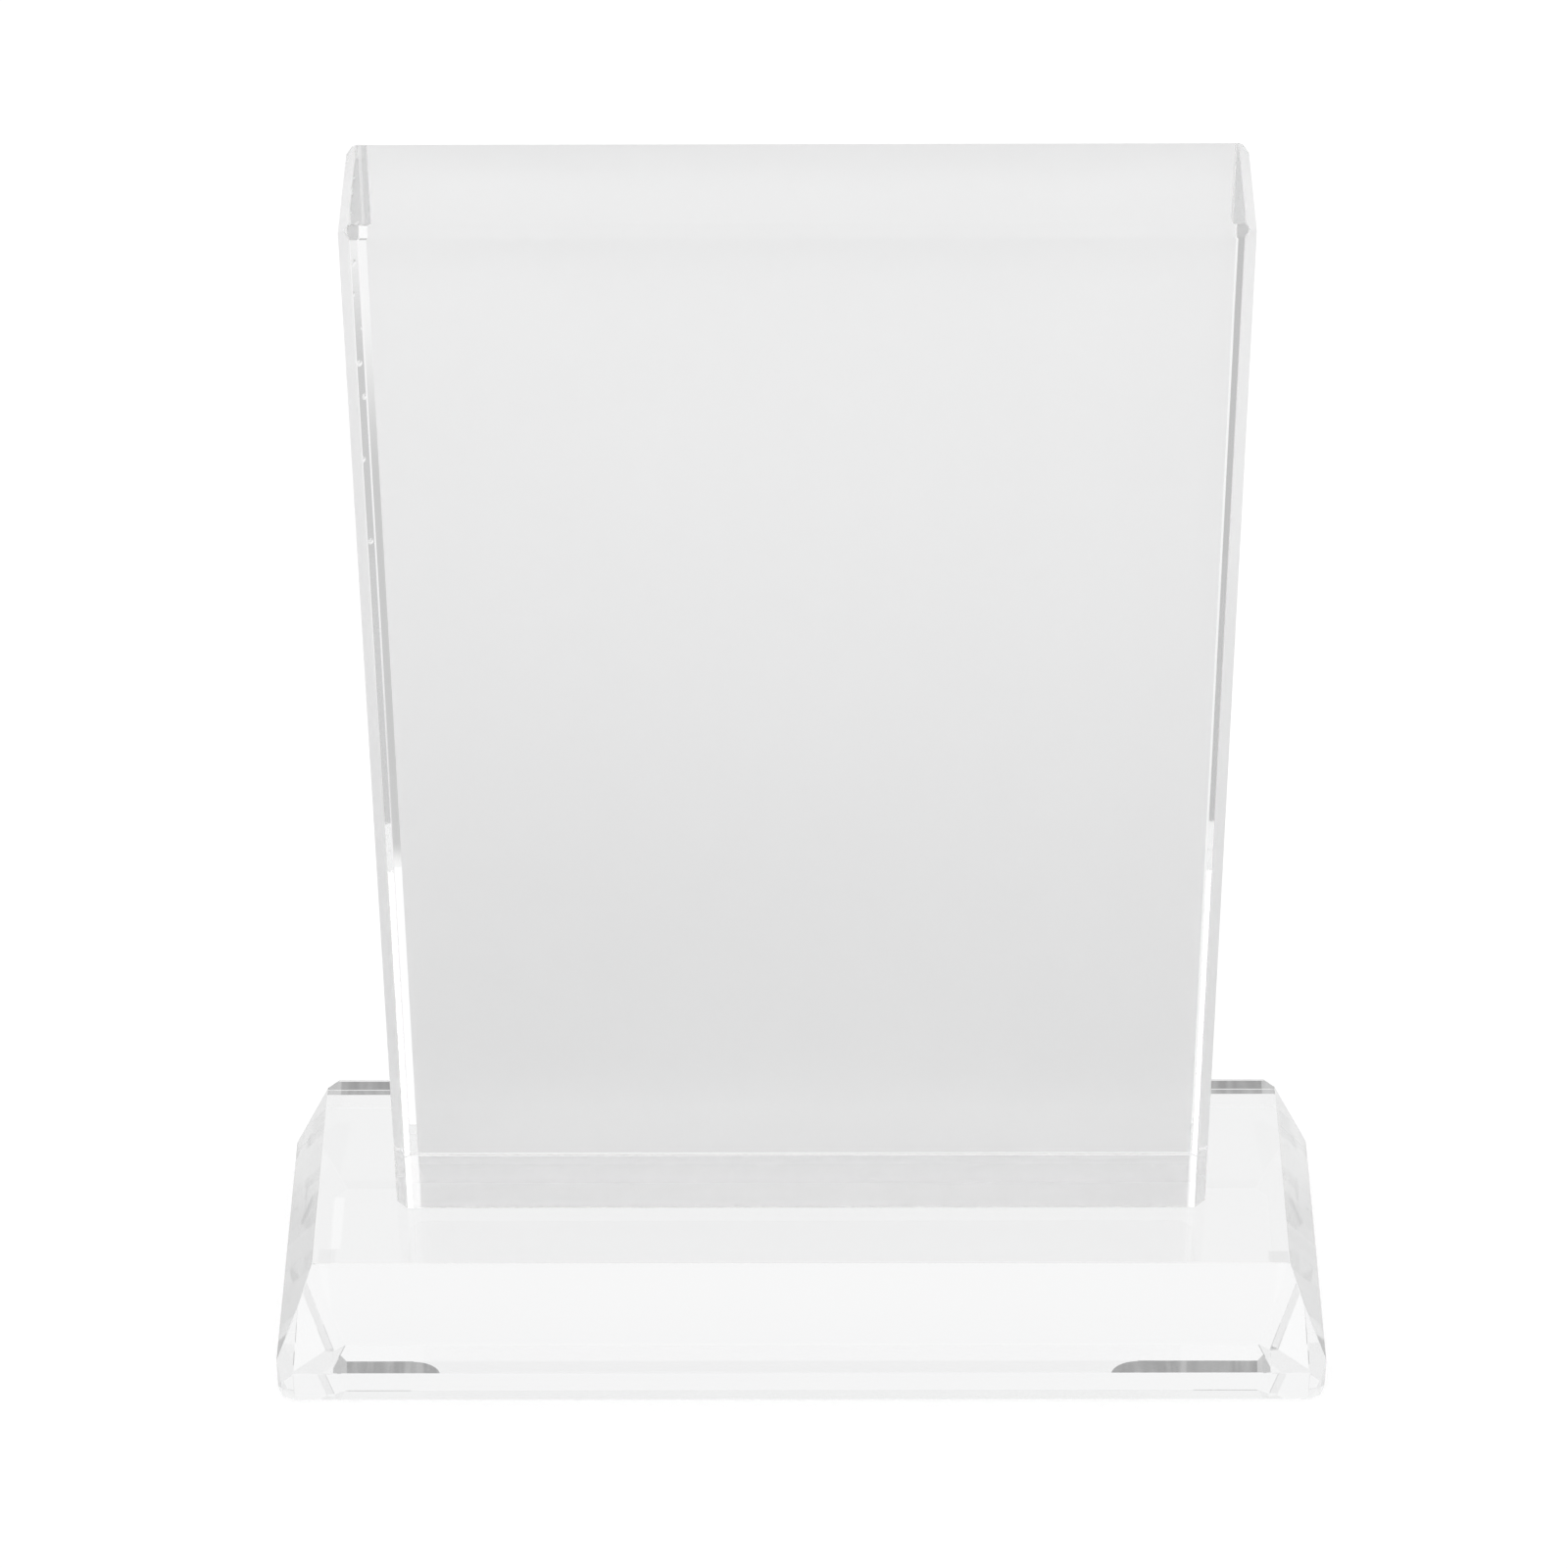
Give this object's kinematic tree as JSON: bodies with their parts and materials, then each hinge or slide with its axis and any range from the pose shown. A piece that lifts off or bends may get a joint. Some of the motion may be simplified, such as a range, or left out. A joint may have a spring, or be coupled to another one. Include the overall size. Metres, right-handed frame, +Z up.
{
  "type": "crystal picture frame",
  "caption": "Upright clear crystal block with chamfered edges and a white picture coat behind, glued to a clear crystal base with long bevels.",
  "frame": {"origin": "centre of the base's underside, on the surface the frame stands on", "axes": "+Z up along the upright block, +X along the base to the viewer's right, +Y from the picture side to the back"},
  "size_m": [0.14, 0.047, 0.1769],
  "materials": {
    "panel_crystal": "polished clear optical crystal",
    "white_coat": "opaque matt white print coat, left blank",
    "clear_glue": "clear cured glue film",
    "base_crystal": "polished clear optical crystal"
  },
  "bodies": {
    "root": {"crystal_panel": "panel_crystal", "print_coat": "white_coat", "bond_layer": "clear_glue", "crystal_base": "base_crystal"}
  },
  "joints": []
}
